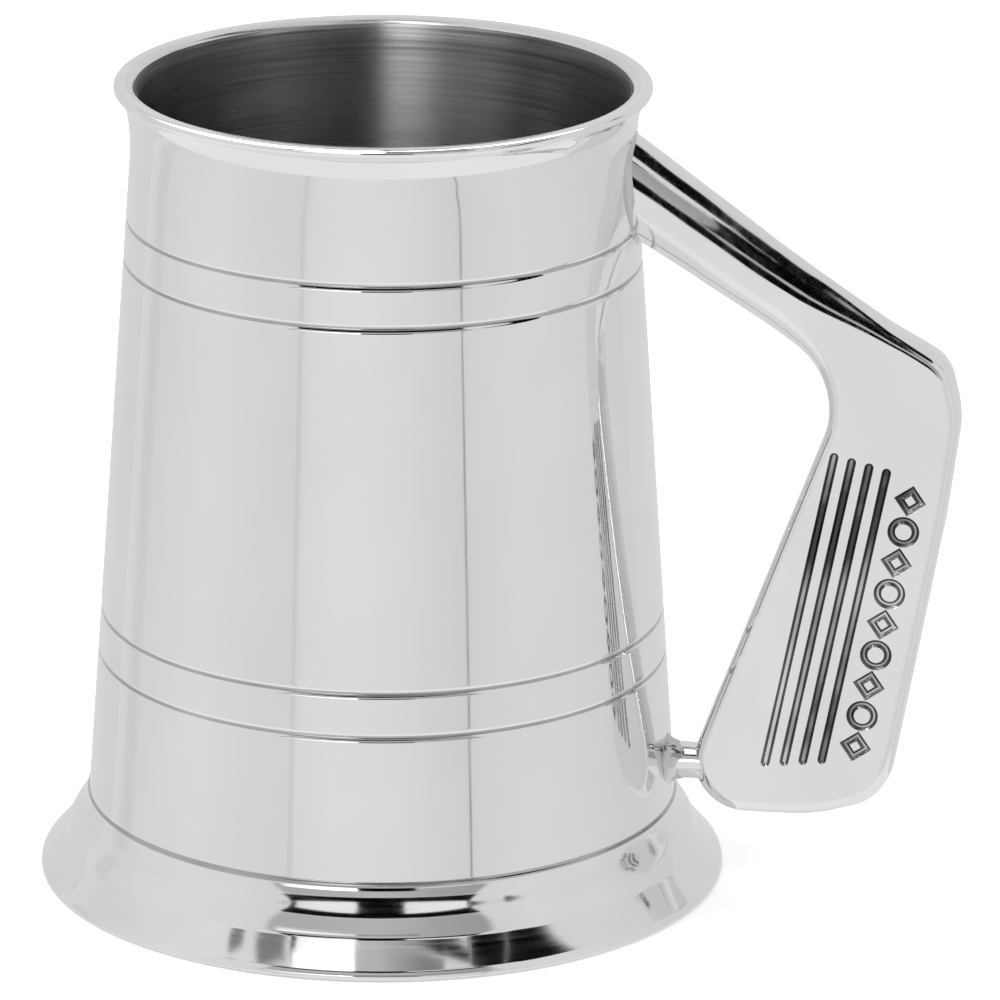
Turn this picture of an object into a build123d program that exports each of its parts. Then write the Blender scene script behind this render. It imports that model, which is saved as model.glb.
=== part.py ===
from build123d import *
import math
import os

# A one-pint pewter tankard whose handle is the head of a golf iron.
# Frame: millimetres, +Z up, origin on the drum's axis in the plane the foot rests on.
# The handle points along +X, and the iron's face looks along -Y.

# ---- drum ----
HEIGHT = 125.0  # rim above the table
DRUM_BASE_Z = 12.4  # lower edge of the wall, on the foot's flange
CONE_R = 46.31  # outer radius the wall would have at z = 0
CONE_TAPER = 0.0701  # radius lost per millimetre of height
WALL = 1.3  # wall thickness, measured level
FLARE_Z = 110.0  # where the cone starts to turn out into the lip
NECK_Z = 117.4  # the narrowest place
NECK_R = 38.4
LIP_R = 40.73  # largest radius of the rounded lip
LIP_EDGE_R = 0.78  # half the thickness of the lip's round edge
LIP_LEAN = 50.0  # degrees from upright that the outside has turned at the lip
LIP_INNER_R = 37.1  # bore at the solid lip
LIP_BORE_ROUND = 1.1  # rounding between the lip's top and its bore
LIP_TOP_FALL = 0.2  # how far the lip's top slopes down towards the bore
GROOVE_HEIGHTS = (35.2, 41.9, 97.4, 103.7)
GROOVE_HALF_WIDTH = 0.7
GROOVE_DEPTH = 0.28

# ---- foot ----
FOOT_TOP_R = 45.6
FOOT_SHEET = 1.4
FLANGE_INNER_R = 40.0
COLLAR_MIDDLE = (47.8, 8.3)  # radius and z where the collar turns from hollow to round
COLLAR_LEAN = 35.0  # degrees from upright there
COLLAR_LOW = (49.0, 5.75)  # where the collar stands upright again
COLLAR_INNER_DROP = 0.35  # how far lower the sheet's inner side turns into the skirt
SKIRT_TOP_Z = 5.35
SKIRT_R = 53.0  # skirt at its turned-down edge
SKIRT_EDGE_Z = 1.0
SKIRT_HOLLOW = 0.12  # how far the skirt is hollowed from a straight cone
SKIRT_EDGE_ROUND = 0.35

# ---- floor ----
FLOOR_THICKNESS = 1.5
FLOOR_GAP = 0.06  # room for solder round the disc
FLOOR_FILLET = 1.2
FOOT_BEAD = 0.5  # height of the bead between the drum and the foot

# ---- golf iron ----
FACE_Y = -4.75  # the flat face
TOPLINE_THICKNESS = 6.0  # head's inner edge at the toe
SOLE_THICKNESS = 9.7  # head's outer edge
TOE_Z = 11.9  # lowest point of the head
TOPLINE_TOE = (50.05, 24.0)  # x and z of a point low on the inner edge
TOPLINE_RUN = 0.368  # millimetres in x per millimetre up the inner edge
SOLE_HEEL = (88.9, 77.0)  # x and z of a point high on the outer edge
SOLE_RUN = 0.165
HEEL_STEP = 0.8  # how far the heel's corner stays below the hosel's upper side
HEEL_CORNER_R = 11.0
HEEL_HOLLOW_R = 12.0
TOE_OUTER_R = 9.0
TOE_INNER_R = 8.0
HEAD_EDGE_ROUND = 1.3

HOSEL_ROOT = (38.7, 109.9)  # x and z where the hosel's axis meets the drum
HOSEL_DROP = 34.2  # degrees below level, going outwards
HOSEL_ROOT_R = 6.1
HOSEL_NECK_R = 5.05
HOSEL_NECK_AT = 30.0  # along the axis from the root
NECK_SLAB_HALF = 3.0  # half the head's height where it starts, inside the hosel
NECK_END_AT = 46.0  # where the neck has sunk into the head
NECK_END_HALVES = (3.7, 4.2)  # half its thickness and half its height there
NECK_END_Y = -0.85

SCORE_COUNT = 4
SCORE_WIDTH = 1.0
SCORE_DEPTH = 0.45
SCORE_FIRST = ((60.1, 20.2), (69.9, 70.8))  # ends of the innermost line, x and z
SCORE_LAST = ((68.8, 21.1), (77.9, 68.7))

MARK_COUNT = 9
MARK_FIRST = (74.0, 24.1)
MARK_LAST = (81.5, 63.9)
MARK_SIZE = 4.2
MARK_LINE = 0.8
MARK_DEPTH = 0.45

# ---- lower strut ----
STRUT_Y = -1.7
STRUT_Z = 19.4
STRUT_R = 2.95
TENON_R = 1.5
TENON_END_X = 54.6
TENON_CLEARANCE = 0.05

# ---- solder round the handle's ends ----
HOSEL_SOLDER_WIDTH = 1.1  # beyond the hosel's side
HOSEL_SOLDER_REACH = 1.2  # out from the drum's wall
STRUT_SOLDER_WIDTH = 1.5
STRUT_SOLDER_REACH = 2.2

# ---- lengths that blanks overrun before they are trimmed ----
WEDGE_OVERRUN = 15.0
HOSEL_OVERRUN = 8.0
SOLDER_OVERRUN = 17.0
STRUT_OVERRUN = 4.0
TENON_ROOT = 1.0  # the tenon's core starts this far outside the drum's wall
TENON_PROUD = 2.0  # and ends this far beyond the strut's full thickness


def wall_r(z):
    """Outer radius of the conical wall at height z."""
    return CONE_R - CONE_TAPER * z


def between(first, last, share):
    """A point part of the way from first to last."""
    return tuple(a + share * (b - a) for a, b in zip(first, last))


def along_hosel(distance, above=0.0):
    """x and z of a point along the hosel's axis, or a distance above it."""
    drop = math.radians(HOSEL_DROP)
    return (
        HOSEL_ROOT[0] + distance * math.cos(drop) + above * math.sin(drop),
        HOSEL_ROOT[1] - distance * math.sin(drop) + above * math.cos(drop),
    )


def crossing(start, run, above):
    """x and z where a head edge crosses a line that runs above the hosel's axis."""
    slope = -math.tan(math.radians(HOSEL_DROP))
    x0, z0 = along_hosel(0, above)
    z = (z0 + slope * (start[0] - run * start[1] - x0)) / (1 - slope * run)
    return (start[0] + run * (z - start[1]), z)


def export(piece, name):
    piece.part.label = name
    export_step(piece.part, f"parts/{name}.step")


os.makedirs("parts", exist_ok=True)

# ---- drum: a turned wall with a flared lip ----
lip_centre_r = LIP_R - LIP_EDGE_R
lip_centre_z = HEIGHT - LIP_EDGE_R
lip_lean = math.radians(LIP_LEAN)
across = (math.cos(lip_lean), -math.sin(lip_lean))  # from the inner face to the outer
lip_outer = (lip_centre_r + LIP_EDGE_R * across[0], lip_centre_z + LIP_EDGE_R * across[1])
lip_crown = (lip_centre_r - LIP_EDGE_R * across[1], lip_centre_z + LIP_EDGE_R * across[0])
lip_top = (lip_centre_r, HEIGHT)
lip_direction = (math.sin(lip_lean), math.cos(lip_lean))
bore_top = (LIP_INNER_R + LIP_BORE_ROUND, HEIGHT - LIP_TOP_FALL)
bore_side = (LIP_INNER_R, bore_top[1] - LIP_BORE_ROUND)

with BuildPart() as drum:
    with BuildSketch(Plane.XZ):
        with BuildLine():
            Line((wall_r(DRUM_BASE_Z), DRUM_BASE_Z), (wall_r(FLARE_Z), FLARE_Z))
            Spline(
                (wall_r(FLARE_Z), FLARE_Z),
                (NECK_R, NECK_Z),
                lip_outer,
                tangents=((-CONE_TAPER, 1), lip_direction),
            )
            ThreePointArc(lip_outer, lip_crown, lip_top)
            Line(lip_top, bore_top)
            RadiusArc(bore_top, bore_side, -LIP_BORE_ROUND)
            Line(bore_side, (wall_r(FLARE_Z) - WALL, FLARE_Z))
            Line((wall_r(FLARE_Z) - WALL, FLARE_Z), (wall_r(DRUM_BASE_Z) - WALL, DRUM_BASE_Z))
            Line((wall_r(DRUM_BASE_Z) - WALL, DRUM_BASE_Z), (wall_r(DRUM_BASE_Z), DRUM_BASE_Z))
        make_face()
    revolve(axis=Axis.Z)
    groove_r = (GROOVE_HALF_WIDTH**2 + GROOVE_DEPTH**2) / (2 * GROOVE_DEPTH)
    for height in GROOVE_HEIGHTS:
        with BuildSketch(Plane.XZ):
            with Locations((wall_r(height) + groove_r - GROOVE_DEPTH, height)):
                Circle(groove_r)
        revolve(axis=Axis.Z, mode=Mode.SUBTRACT)
export(drum, "drum")

# ---- the drum's outer shape as a solid, which the handle's pieces are fitted to ----
with BuildPart() as drum_envelope:
    with BuildSketch(Plane.XZ):
        with BuildLine():
            Polyline((0, FLARE_Z), (0, 0), (wall_r(0), 0), (wall_r(FLARE_Z), FLARE_Z))
            Spline(
                (wall_r(FLARE_Z), FLARE_Z),
                (NECK_R, NECK_Z),
                lip_outer,
                tangents=((-CONE_TAPER, 1), lip_direction),
            )
            Polyline(lip_outer, (0, lip_outer[1]), (0, FLARE_Z))
        make_face()
    revolve(axis=Axis.Z)

# ---- foot: one spun sheet, from the flange under the drum to the skirt's edge ----
collar_lean = math.radians(COLLAR_LEAN)
collar_run = (math.sin(collar_lean), -math.cos(collar_lean))
inward = (-FOOT_SHEET * math.cos(collar_lean), -FOOT_SHEET * math.sin(collar_lean))
inner_collar_middle = (COLLAR_MIDDLE[0] + inward[0], COLLAR_MIDDLE[1] + inward[1])
inner_collar_top = (FOOT_TOP_R - FOOT_SHEET, DRUM_BASE_Z - FOOT_SHEET)
inner_collar_low = (COLLAR_LOW[0] - FOOT_SHEET, COLLAR_LOW[1] - COLLAR_INNER_DROP)
skirt_top = (COLLAR_LOW[0], SKIRT_TOP_Z)
skirt_end = (SKIRT_R, SKIRT_EDGE_Z)
skirt_length = math.dist(skirt_top, skirt_end)
skirt_out = (
    (skirt_top[1] - skirt_end[1]) / skirt_length,
    (skirt_end[0] - skirt_top[0]) / skirt_length,
)
skirt_mid = tuple(
    (a + b) / 2 - SKIRT_HOLLOW * out for a, b, out in zip(skirt_top, skirt_end, skirt_out)
)
inner_skirt_mid = tuple(a - FOOT_SHEET * out for a, out in zip(skirt_mid, skirt_out))

with BuildPart() as foot:
    with BuildSketch(Plane.XZ):
        with BuildLine():
            Line((FLANGE_INNER_R, DRUM_BASE_Z), (FOOT_TOP_R, DRUM_BASE_Z))
            Spline((FOOT_TOP_R, DRUM_BASE_Z), COLLAR_MIDDLE, tangents=((0, -1), collar_run))
            Spline(COLLAR_MIDDLE, COLLAR_LOW, tangents=(collar_run, (0, -1)))
            Line(COLLAR_LOW, skirt_top)
            ThreePointArc(skirt_top, skirt_mid, skirt_end)
            Polyline(skirt_end, (SKIRT_R, 0), (SKIRT_R - FOOT_SHEET, 0))
            ThreePointArc((SKIRT_R - FOOT_SHEET, 0), inner_skirt_mid, inner_collar_low)
            Spline(inner_collar_low, inner_collar_middle, inner_collar_top)
            Line(inner_collar_top, (FLANGE_INNER_R, DRUM_BASE_Z - FOOT_SHEET))
            Line((FLANGE_INNER_R, DRUM_BASE_Z - FOOT_SHEET), (FLANGE_INNER_R, DRUM_BASE_Z))
        make_face()
    revolve(axis=Axis.Z)
    skirt_edges = foot.edges().filter_by(GeomType.CIRCLE).group_by(Axis.Z)
    fillet(skirt_edges[0].sort_by(SortBy.RADIUS)[-1], radius=SKIRT_EDGE_ROUND)
export(foot, "foot")

# ---- floor disc, lying on the foot's flange inside the wall ----
floor_top_z = DRUM_BASE_Z + FLOOR_THICKNESS
with BuildPart() as floor_disc:
    with BuildSketch(Plane.XY.offset(DRUM_BASE_Z)):
        Circle(wall_r(floor_top_z) - WALL - FLOOR_GAP)
    extrude(amount=FLOOR_THICKNESS)
export(floor_disc, "floor_disc")

# ---- solder in the corner between the floor and the wall ----
fillet_top_z = floor_top_z + FLOOR_FILLET
with BuildPart() as floor_solder:
    with BuildSketch(Plane.XZ):
        with BuildLine():
            Polyline(
                (wall_r(floor_top_z) - WALL - FLOOR_FILLET, floor_top_z),
                (wall_r(floor_top_z) - WALL, floor_top_z),
                (wall_r(fillet_top_z) - WALL, fillet_top_z),
            )
            Line(
                (wall_r(fillet_top_z) - WALL, fillet_top_z),
                (wall_r(floor_top_z) - WALL - FLOOR_FILLET, floor_top_z),
            )
        make_face()
    revolve(axis=Axis.Z)
export(floor_solder, "floor_solder")

# ---- polished bead between the drum and the foot ----
bead_top_z = DRUM_BASE_Z + FOOT_BEAD
with BuildPart() as foot_solder:
    with BuildSketch(Plane.XZ):
        with BuildLine():
            Polyline(
                (wall_r(bead_top_z), bead_top_z),
                (wall_r(DRUM_BASE_Z), DRUM_BASE_Z),
                (FOOT_TOP_R, DRUM_BASE_Z),
                (wall_r(bead_top_z), bead_top_z),
            )
        make_face()
    revolve(axis=Axis.Z)
export(foot_solder, "foot_solder")

# ---- golf iron: a wedge-shaped head and a tapering hosel in one casting ----
drop = math.radians(HOSEL_DROP)
hosel_plane = Plane(
    origin=(HOSEL_ROOT[0], 0, HOSEL_ROOT[1]),
    x_dir=(0, 1, 0),
    z_dir=(math.cos(drop), 0, -math.sin(drop)),
)
neck_end_plane = Plane(
    origin=hosel_plane.offset(NECK_END_AT).origin + Vector(0, NECK_END_Y, 0),
    x_dir=(0, 1, 0),
    z_dir=hosel_plane.z_dir,
)
face_plane = Plane(origin=(0, FACE_Y, 0), x_dir=(1, 0, 0), z_dir=(0, -1, 0))

heel_hollow = crossing(TOPLINE_TOE, TOPLINE_RUN, -HOSEL_NECK_R)
heel_corner = crossing(SOLE_HEEL, SOLE_RUN, HOSEL_NECK_R - HEEL_STEP)
toe_outer = (SOLE_HEEL[0] + SOLE_RUN * (TOE_Z - SOLE_HEEL[1]), TOE_Z)
toe_inner = (TOPLINE_TOE[0] + TOPLINE_RUN * (TOE_Z - TOPLINE_TOE[1]), TOE_Z)
neck_low = along_hosel(HOSEL_NECK_AT, -NECK_SLAB_HALF)
neck_high = along_hosel(HOSEL_NECK_AT, NECK_SLAB_HALF)

# The wedge is planed along the score lines: its section is the same all the way up.
lean = math.atan2(
    SCORE_FIRST[1][0] - SCORE_FIRST[0][0],
    SCORE_FIRST[1][1] - SCORE_FIRST[0][1],
)
wedge_plane = Plane(
    origin=(0, 0, 0),
    x_dir=(math.cos(lean), 0, -math.sin(lean)),
    z_dir=(math.sin(lean), 0, math.cos(lean)),
)
topline_u = TOPLINE_TOE[0] * math.cos(lean) - TOPLINE_TOE[1] * math.sin(lean)
sole_u = SOLE_HEEL[0] * math.cos(lean) - SOLE_HEEL[1] * math.sin(lean)
back_rise = (SOLE_THICKNESS - TOPLINE_THICKNESS) / (sole_u - topline_u)


def back_y(u):
    """The head's back, u millimetres across the score lines."""
    return FACE_Y + TOPLINE_THICKNESS + back_rise * (u - topline_u)


with BuildPart() as head_blank:
    with BuildSketch(face_plane) as head_outline:
        with BuildLine():
            Polyline(
                neck_low,
                heel_hollow,
                toe_inner,
                toe_outer,
                heel_corner,
                neck_high,
                close=True,
            )
        make_face()
        for corner, radius in (
            (heel_hollow, HEEL_HOLLOW_R),
            (toe_inner, TOE_INNER_R),
            (toe_outer, TOE_OUTER_R),
            (heel_corner, HEEL_CORNER_R),
        ):
            fillet(head_outline.vertices().sort_by_distance(corner)[0], radius=radius)
    extrude(amount=-2 * SOLE_THICKNESS)
    with BuildSketch(wedge_plane):
        with BuildLine():
            Polyline(
                (topline_u - WEDGE_OVERRUN, FACE_Y),
                (sole_u + WEDGE_OVERRUN, FACE_Y),
                (sole_u + WEDGE_OVERRUN, back_y(sole_u + WEDGE_OVERRUN)),
                (topline_u - WEDGE_OVERRUN, back_y(topline_u - WEDGE_OVERRUN)),
                close=True,
            )
        make_face()
    extrude(amount=2 * HEIGHT, mode=Mode.INTERSECT)
    flat_faces = head_blank.faces().sort_by(SortBy.AREA)[-2:]
    fillet(flat_faces.edges(), radius=HEAD_EDGE_ROUND)

with BuildPart() as hosel:
    with BuildSketch(hosel_plane.offset(-HOSEL_OVERRUN)):
        Circle(HOSEL_ROOT_R)
    with BuildSketch(hosel_plane.offset(HOSEL_NECK_AT)):
        Circle(HOSEL_NECK_R)
    loft()
    with BuildSketch(hosel_plane.offset(HOSEL_NECK_AT)):
        Circle(HOSEL_NECK_R)
    with BuildSketch(neck_end_plane):
        Ellipse(*NECK_END_HALVES)
    loft()

with BuildPart() as casting:
    add(head_blank.part)
    add(hosel.part)
    add(drum_envelope.part, mode=Mode.SUBTRACT)
    with BuildSketch(face_plane):
        for line in range(SCORE_COUNT):
            share = line / (SCORE_COUNT - 1)
            low = between(SCORE_FIRST[0], SCORE_LAST[0], share)
            high = between(SCORE_FIRST[1], SCORE_LAST[1], share)
            tilt = math.degrees(math.atan2(high[1] - low[1], high[0] - low[0]))
            with Locations(Location((*between(low, high, 0.5), 0), (0, 0, tilt))):
                SlotOverall(math.dist(low, high), SCORE_WIDTH)
    extrude(amount=-SCORE_DEPTH, mode=Mode.SUBTRACT)
    with BuildSketch(face_plane):
        row_tilt = math.degrees(
            math.atan2(MARK_LAST[1] - MARK_FIRST[1], MARK_LAST[0] - MARK_FIRST[0])
        )
        for mark in range(MARK_COUNT):
            centre = between(MARK_FIRST, MARK_LAST, mark / (MARK_COUNT - 1))
            with Locations(Location((*centre, 0), (0, 0, row_tilt))):
                if mark % 2:
                    Circle(MARK_SIZE / 2)
                    Circle(MARK_SIZE / 2 - MARK_LINE, mode=Mode.SUBTRACT)
                else:
                    RegularPolygon(MARK_SIZE / 2, 4)
                    RegularPolygon(
                        MARK_SIZE / 2 - math.sqrt(2) * MARK_LINE, 4, mode=Mode.SUBTRACT
                    )
    extrude(amount=-MARK_DEPTH, mode=Mode.SUBTRACT)

# ---- lower strut: butts on the drum and on the head's edge, with a tenon in the head ----
strut_plane = Plane(origin=(0, STRUT_Y, STRUT_Z), x_dir=(0, 1, 0), z_dir=(1, 0, 0))
strut_inside_x = wall_r(STRUT_Z) - STRUT_OVERRUN
tenon_start_x = wall_r(STRUT_Z) + TENON_ROOT
with BuildPart() as lower_strut:
    with BuildSketch(strut_plane.offset(strut_inside_x)):
        Circle(STRUT_R)
    extrude(amount=TENON_END_X - TENON_PROUD - strut_inside_x)
    add(drum_envelope.part, mode=Mode.SUBTRACT)
    add(casting.part, mode=Mode.SUBTRACT)
    with BuildSketch(strut_plane.offset(tenon_start_x)):
        Circle(TENON_R)
    extrude(amount=TENON_END_X - tenon_start_x)
export(lower_strut, "lower_strut")

with BuildPart() as golf_iron_handle:
    add(casting.part)
    with BuildSketch(strut_plane.offset(tenon_start_x)):
        Circle(TENON_R + TENON_CLEARANCE)
    extrude(
        amount=TENON_END_X + TENON_CLEARANCE - tenon_start_x,
        mode=Mode.SUBTRACT,
    )
export(golf_iron_handle, "golf_iron_handle")


# ---- solder round the ends of the handle, a band that follows the drum's wall ----
def swollen_wall(reach):
    """A cone that stands a given reach outside the wall."""
    with BuildPart() as cone:
        with BuildSketch(Plane.XZ):
            with BuildLine():
                Polyline(
                    (0, DRUM_BASE_Z),
                    (wall_r(DRUM_BASE_Z) + reach, DRUM_BASE_Z),
                    (wall_r(HEIGHT) + reach, HEIGHT),
                    (0, HEIGHT),
                    close=True,
                )
            make_face()
        revolve(axis=Axis.Z)
    return cone.part


hosel_reach = swollen_wall(HOSEL_SOLDER_REACH)
with BuildPart() as hosel_solder:
    with BuildSketch(hosel_plane.offset(-HOSEL_OVERRUN)):
        Circle(HOSEL_ROOT_R + HOSEL_SOLDER_WIDTH)
    extrude(amount=HOSEL_OVERRUN + SOLDER_OVERRUN)
    add(hosel_reach, mode=Mode.INTERSECT)
    add(drum_envelope.part, mode=Mode.SUBTRACT)
    add(casting.part, mode=Mode.SUBTRACT)
export(hosel_solder, "hosel_solder")

strut_reach = swollen_wall(STRUT_SOLDER_REACH)
with BuildPart() as strut_solder:
    with BuildSketch(strut_plane.offset(strut_inside_x)):
        Circle(STRUT_R + STRUT_SOLDER_WIDTH)
    extrude(amount=2 * STRUT_OVERRUN + STRUT_SOLDER_REACH)
    add(strut_reach, mode=Mode.INTERSECT)
    add(drum_envelope.part, mode=Mode.SUBTRACT)
    add(lower_strut.part, mode=Mode.SUBTRACT)
    add(foot_solder.part, mode=Mode.SUBTRACT)
export(strut_solder, "strut_solder")
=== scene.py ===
import math
import random

import bmesh
import bpy
import numpy as np
from mathutils import Matrix, Vector, noise


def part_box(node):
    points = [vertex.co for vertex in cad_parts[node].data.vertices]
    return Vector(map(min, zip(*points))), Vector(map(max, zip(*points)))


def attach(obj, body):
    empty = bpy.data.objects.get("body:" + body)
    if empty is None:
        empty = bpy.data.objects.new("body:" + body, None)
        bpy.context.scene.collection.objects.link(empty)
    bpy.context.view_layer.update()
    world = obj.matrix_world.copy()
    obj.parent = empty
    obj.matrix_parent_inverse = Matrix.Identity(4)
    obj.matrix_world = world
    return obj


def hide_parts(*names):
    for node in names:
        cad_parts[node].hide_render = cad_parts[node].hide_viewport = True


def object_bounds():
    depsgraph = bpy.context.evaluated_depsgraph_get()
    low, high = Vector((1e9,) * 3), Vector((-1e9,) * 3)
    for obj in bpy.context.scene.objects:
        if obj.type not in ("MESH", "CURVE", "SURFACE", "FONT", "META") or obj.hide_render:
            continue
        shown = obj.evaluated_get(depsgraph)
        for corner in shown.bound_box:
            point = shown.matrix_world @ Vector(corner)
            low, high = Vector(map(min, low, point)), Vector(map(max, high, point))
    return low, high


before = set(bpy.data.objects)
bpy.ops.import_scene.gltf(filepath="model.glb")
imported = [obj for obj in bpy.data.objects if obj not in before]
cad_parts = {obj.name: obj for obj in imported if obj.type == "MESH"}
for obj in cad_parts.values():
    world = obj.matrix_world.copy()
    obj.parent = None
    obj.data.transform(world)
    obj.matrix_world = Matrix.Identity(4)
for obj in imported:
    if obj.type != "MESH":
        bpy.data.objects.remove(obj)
cad_low, cad_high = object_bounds()

# A pewter tankard with a golf iron for a handle, in polished and satin pewter.
# Its shapes are worked out in millimetres and made into metres by new_mesh. The studio is in
# metres.
MM = 0.001
noise.seed_set(3)  # so that cast and soldered pieces are uneven in the same way in every run

# ---- driving sizes, most of them shared with the CAD model ----
HEIGHT = cad_high.z / MM
DRUM_BASE_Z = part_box("drum")[0].z / MM
CONE_R = 46.31  # outer radius the wall would have at z = 0
CONE_TAPER = 0.0701  # radius lost per millimetre of height
WALL = 1.3
FLARE_Z = 110.0
NECK_Z = 117.4
NECK_R = 38.4
LIP_R = 40.73
LIP_EDGE_R = 0.78
LIP_LEAN = math.radians(50.0)
LIP_INNER_R = 37.1  # bore at the solid lip
LIP_BORE_ROUND = 1.4
LIP_BORE_FALL = 1.9  # how much taller than wide that rounding is
LIP_TOP_FALL = 0.22  # how far the lip's nearly flat top slopes down towards the bore
GROOVE_HEIGHTS = (35.2, 41.9, 97.4, 103.7)
GROOVE_HALF_WIDTH = 0.75
GROOVE_DEPTH = 0.27
GROOVE_SHADE_SHARE = 0.35  # share of a groove's width that is painted darker, as painted shade

FOOT_TOP_R = 45.6
FOOT_SHEET = 1.4
FLANGE_INNER_R = 40.0
FOOT_EDGE_R = 0.55  # rounding of the skirt's rim outside
FOOT_EDGE_Z = 0.62
FOOT_HEEL_R = 0.35  # and beneath
FOOT_CHAMFER = 0.2
FOOT_INNER_CHAMFER = 0.6
SKIRT_R = cad_high.y / MM
# Places down the foot's outside: radius, z, and its surface's lean back there, in degrees.
# The collar and the skirt meet in a crease.
COLLAR_PLACES = ((45.44, 12.4, 4.0), (47.82, 8.28, 33.0), (49.08, 5.55, 20.0))
SKIRT_PLACES = ((49.17, 5.38, 40.3), (SKIRT_R, 1.0, 43.0))
FLOOR_TOP_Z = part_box("floor_disc")[1].z / MM
FLOOR_ROOM = 0.06  # room for solder between the disc and the wall
FLOOR_CHAMFER = 0.2
FLOOR_DISH = 0.12
FLOOR_FILLET = 1.2
FOOT_BEAD = 0.5
FOOT_BEAD_DROP = 0.45  # how far the bead reaches below the drum's edge

# The handle's places are (x, z), in its own upright plane.
FACE_Y = -4.75
TOPLINE_THICKNESS = 6.0
SOLE_THICKNESS = 9.7
TOPLINE_TOE = (50.05, 24.0)
TOPLINE_RUN = 0.368
SOLE_HEEL = (88.9, 77.0)
HEEL_HOLLOW_R = 12.0
TOE_Z = 11.9
TOE_INNER_R = 8.0
HOSEL_ROOT = (38.7, 109.9)
HOSEL_DROP = math.radians(34.2)
HOSEL_ROOT_R = 6.1
HOSEL_NECK_R = 5.05
HOSEL_NECK_AT = 30.0  # how far along its axis it is that thin
SCORE_COUNT = 4
SCORE_FIRST = ((60.1, 20.2), (69.9, 70.8))
SCORE_LAST = ((68.8, 21.1), (77.9, 68.7))
MARK_COUNT = 9
MARK_FIRST = (74.0, 24.1)
MARK_LAST = (81.5, 63.9)
MARK_SIZE = 4.5
MARK_STROKE = 0.8
SCORE_HALF_WIDTH = 0.5
STRUT_Y = -1.7
STRUT_Z = 19.4
STRUT_R = 2.95
STRUT_WAIST = 0.12
STRUT_IN_WALL = 1.0
STRUT_TIP_LEFT = 1.5  # how much of the hidden tenon the finer strut leaves out

TURN_STEPS = 288  # divisions round every turned piece


# ---- mesh helpers ----


def in_scene(name, data):
    """A new object in the scene."""
    made = bpy.data.objects.new(name, data)
    bpy.context.scene.collection.objects.link(made)
    return made


def new_mesh(name, points, faces, materials, face_materials=None, sharp=32.0):
    """A smooth-shaded mesh from points in millimetres."""
    mesh = bpy.data.meshes.new(name)
    mesh.from_pydata([[c * MM for c in point] for point in points], [], faces)
    for material in materials:
        mesh.materials.append(material)
    if face_materials is not None:
        mesh.polygons.foreach_set("material_index", face_materials)
    piece = in_scene(name, mesh)
    tidy(piece, sharp)
    return piece


def tidy(piece, sharp):
    """Merges double points, turns the faces outwards and shades them smooth up to an angle."""
    work = bmesh.new()
    work.from_mesh(piece.data)
    bmesh.ops.remove_doubles(work, verts=work.verts, dist=0.002 * MM)
    bmesh.ops.recalc_face_normals(work, faces=work.faces)
    work.to_mesh(piece.data)
    work.free()
    piece.data.shade_smooth()
    piece.data.set_sharp_from_angle(angle=math.radians(sharp))


def stand_for(piece, node):
    """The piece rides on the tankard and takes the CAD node's place."""
    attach(piece, "root")
    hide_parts(node)


def woven(rows, columns, base=0, rows_close=False, columns_close=True):
    """Faces between neighbouring rows of points, the first of which is point number base."""
    faces = []
    for row in range(rows if rows_close else rows - 1):
        here, there = base + row * columns, base + (row + 1) % rows * columns
        for i in range(columns if columns_close else columns - 1):
            after = (i + 1) % columns
            faces.append((here + i, here + after, there + after, there + i))
    return faces


def end_caps(rows, columns, base=0):
    """A face over the first row of points and one over the last."""
    first = tuple(range(base, base + columns))
    return [first[::-1], tuple(i + (rows - 1) * columns for i in first)]


def lathe(name, profile, materials, spans=None, closed=True, wobble=0.0, seed=0, sharp=32.0):
    """Turns a profile of (radius, z) about Z. spans gives each profile edge's material."""
    draw = random.Random(seed)
    phases = [draw.uniform(0, math.tau) for _ in range(4)]
    points = []
    for step in range(TURN_STEPS):
        angle = math.tau * step / TURN_STEPS
        for radius, z in profile:
            swell = math.sin(2 * angle + phases[0] + 0.02 * z)
            swell += 0.6 * math.sin(3 * angle + phases[1] - 0.03 * z)
            swell += 0.35 * math.sin(5 * angle + phases[2] + 0.05 * z)
            r = max(0.0, radius + wobble * swell * min(1.0, radius / 20))
            points.append((r * math.cos(angle), r * math.sin(angle), z))
    faces = woven(TURN_STEPS, len(profile), rows_close=True, columns_close=closed)
    chosen = spans * TURN_STEPS if spans else None
    return new_mesh(name, points, faces, materials, chosen, sharp)


def arc(centre, radius, start, end, steps):
    """Points of an arc in a profile plane, angles in degrees."""
    angles = [math.radians(start + (end - start) * i / steps) for i in range(steps + 1)]
    return [(centre[0] + radius * math.cos(a), centre[1] + radius * math.sin(a)) for a in angles]


def hermite(start, start_run, end, end_run, steps):
    """A smooth curve between two points with given end directions."""
    curve = []
    for i in range(steps + 1):
        t = i / steps
        weights = (
            2 * t**3 - 3 * t**2 + 1,
            t**3 - 2 * t**2 + t,
            -2 * t**3 + 3 * t**2,
            t**3 - t**2,
        )
        parts = (start, start_run, end, end_run)
        curve.append(tuple(sum(w * p[k] for w, p in zip(weights, parts)) for k in (0, 1)))
    return curve


def between(start, end, share):
    """The place that share of the way from start to end."""
    return tuple(a + share * (b - a) for a, b in zip(start, end))


def straight(start, end, steps):
    """Equal steps along a line."""
    return [between(start, end, i / steps) for i in range(steps + 1)]


def guarded(start, end, steps, guard=0.12):
    """A straight path with short ends, so that its shading stays straight up to a corner."""
    share = guard / math.dist(start, end)
    near, far = between(start, end, share), between(start, end, 1 - share)
    return [start] + straight(near, far, steps) + [end]


def join_paths(*paths):
    """One list of points, without doubled ends."""
    joined = []
    for path in paths:
        for point in path:
            if not joined or math.dist(point, joined[-1]) > 1e-4:
                joined.append(point)
    return joined


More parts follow.
